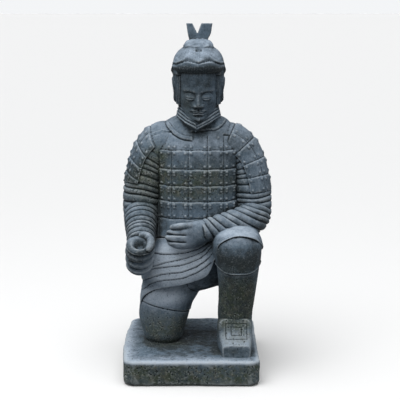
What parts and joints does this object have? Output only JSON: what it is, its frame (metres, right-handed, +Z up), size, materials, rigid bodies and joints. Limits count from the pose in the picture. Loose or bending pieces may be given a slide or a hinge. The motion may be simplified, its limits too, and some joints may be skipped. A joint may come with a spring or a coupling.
{
  "type": "kneeling warrior statue",
  "caption": "Stone garden statue of a bareheaded warrior in plate armour who kneels on one knee, a low plinth carved in one with the figure.",
  "frame": {"origin": "centre of the plinth's flat underside", "axes": "+Z up, the figure faces -Y, +X is the viewer's right when seen from the front"},
  "size_m": [0.437, 0.467, 1.004],
  "materials": {
    "dark_stone": "matte, finely pitted blue-grey stone, paler on worn and upward faces, with green moss tints"
  },
  "bodies": {
    "root": {"kneeling_warrior": "dark_stone"}
  },
  "joints": []
}
